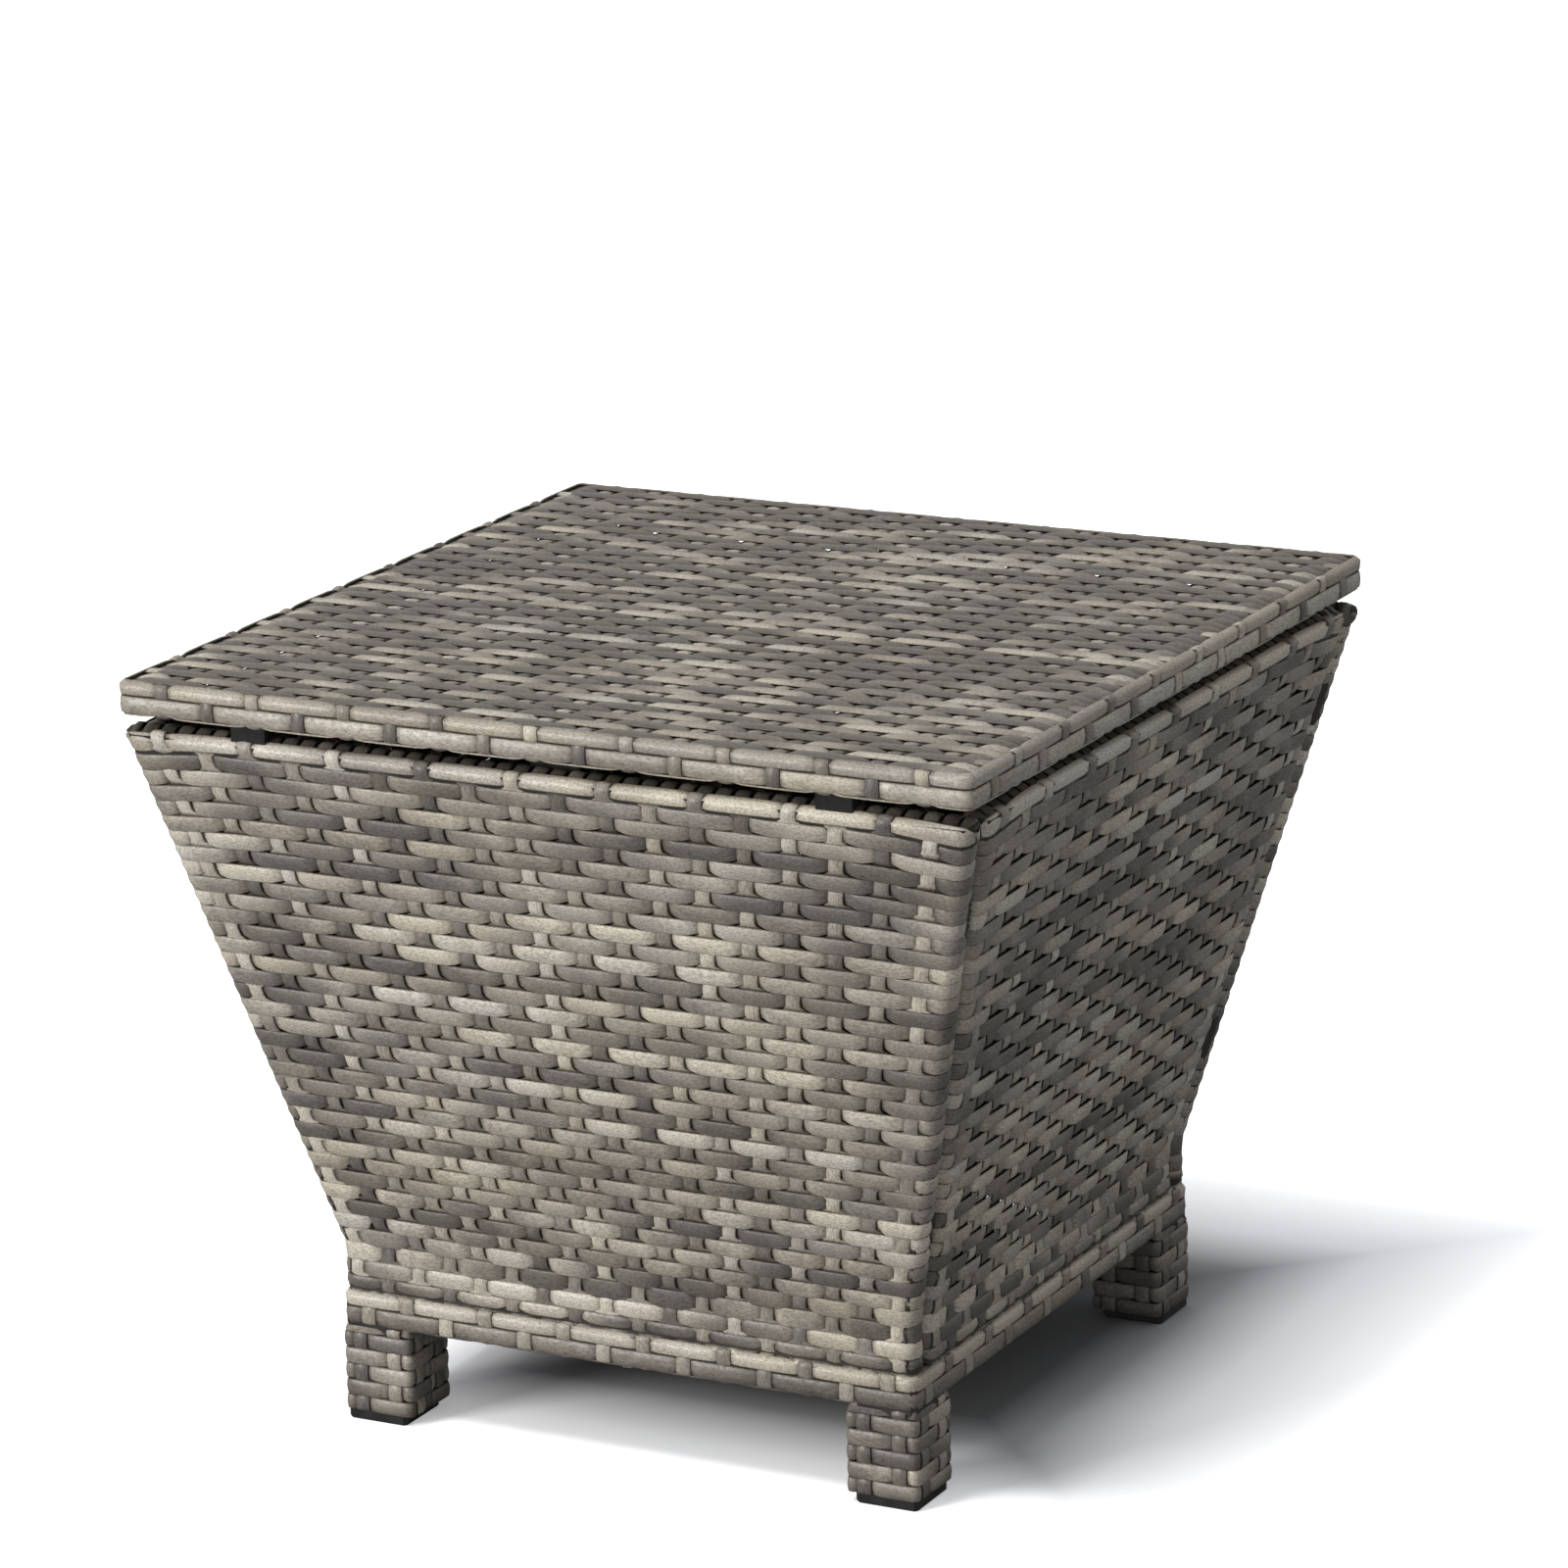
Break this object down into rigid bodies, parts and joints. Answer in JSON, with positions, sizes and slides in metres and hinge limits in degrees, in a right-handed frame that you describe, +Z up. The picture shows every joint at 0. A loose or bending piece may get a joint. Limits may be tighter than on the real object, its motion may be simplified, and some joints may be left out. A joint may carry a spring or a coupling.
{
  "type": "propane tank cover table",
  "caption": "Square woven side table that stands over a propane tank: body widens upwards from short legs, with a loose woven lid.",
  "frame": {"origin": "on the floor, under the middle of the body and lid", "axes": "+Z up, the front panel faces -Y, the right-hand panel faces +X"},
  "size_m": [0.584, 0.584, 0.5],
  "materials": {
    "strand": "woven flat resin strand in mixed beige and grey tones, satin",
    "tube": "dark powder coat",
    "foot_plastic": "black moulded, matt",
    "rubber": "black, matt",
    "steel": "zinc plated"
  },
  "bodies": {
    "body": {"back_base_rail": "tube", "back_base_rail_weave": "strand", "back_left_foot_cap": "foot_plastic", "back_left_leg_tube": "tube", "back_left_leg_weave": "strand", "back_panel_bottom_rail": "tube", "back_panel_left_tube": "tube", "back_panel_right_tube": "tube", "back_panel_top_rail": "tube", "back_panel_weave": "strand", "back_right_foot_cap": "foot_plastic", "back_right_leg_tube": "tube", "back_right_leg_weave": "strand", "base_bolts": "steel", "base_nuts": "steel", "corner_bolts": "steel", "corner_nut_ears": "tube", "corner_nuts": "steel", "corner_slot_ears": "tube", "front_base_rail": "tube", "front_base_rail_weave": "strand", "front_left_foot_cap": "foot_plastic", "front_left_leg_tube": "tube", "front_left_leg_weave": "strand", "front_panel_bottom_rail": "tube", "front_panel_left_tube": "tube", "front_panel_right_tube": "tube", "front_panel_top_rail": "tube", "front_panel_weave": "strand", "front_right_foot_cap": "foot_plastic", "front_right_leg_tube": "tube", "front_right_leg_weave": "strand", "left_base_rail": "tube", "left_base_rail_weave": "strand", "left_panel_bottom_rail": "tube", "left_panel_left_tube": "tube", "left_panel_right_tube": "tube", "left_panel_top_rail": "tube", "left_panel_weave": "strand", "right_base_rail": "tube", "right_base_rail_weave": "strand", "right_panel_bottom_rail": "tube", "right_panel_left_tube": "tube", "right_panel_right_tube": "tube", "right_panel_top_rail": "tube", "right_panel_weave": "strand"},
    "lid": {"lid_cross_tubes": "tube", "lid_edge_weave": "strand", "lid_frame": "tube", "lid_locating_tabs": "tube", "lid_rubber_pads": "rubber", "lid_top_weave": "strand"}
  },
  "joints": [
    {"name": "lid_lift", "type": "slide", "parent": "body", "child": "lid", "axis": [0, 0, 1], "range_m": [0, 0.15]}
  ]
}
